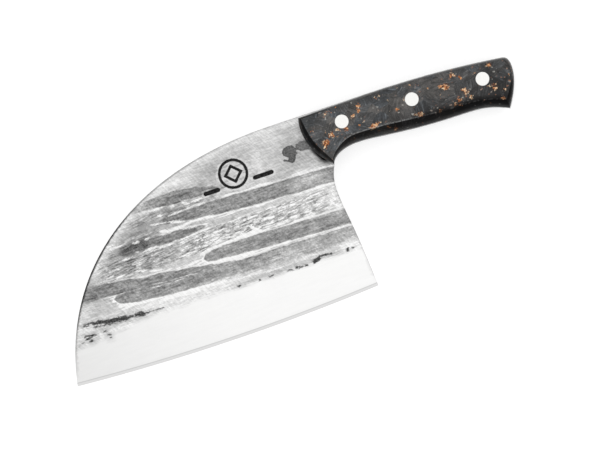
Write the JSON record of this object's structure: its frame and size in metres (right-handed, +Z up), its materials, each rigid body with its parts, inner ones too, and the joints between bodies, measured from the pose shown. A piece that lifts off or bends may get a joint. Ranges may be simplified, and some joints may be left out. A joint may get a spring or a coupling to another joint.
{
  "type": "meat cleaver",
  "caption": "Heavy butcher's cleaver with a curved-front forged blade, a full tang and flat marbled scales fixed by flush steel pins.",
  "frame": {"origin": "on the surface the cleaver lies on, under the middle of its outline", "axes": "+X from the blade's front to the butt of the handle, +Y from the cutting edge to the spine, +Z up through the thickness, from the right side to the left side"},
  "size_m": [0.2912, 0.1084, 0.0233],
  "materials": {
    "blade_steel": "forged grey with lengthwise grinding marks, polished along the edge",
    "marbled_resin": "charcoal carbon-fibre resin with copper flecks, semi-gloss",
    "pin_steel": "ground flush and polished",
    "epoxy": "cured black epoxy, a hair-thin line"
  },
  "bodies": {
    "root": {"blade": "blade_steel", "left_bond": "epoxy", "right_bond": "epoxy", "left_scale": "marbled_resin", "right_scale": "marbled_resin", "front_pin": "pin_steel", "middle_pin": "pin_steel", "rear_pin": "pin_steel"}
  },
  "joints": []
}
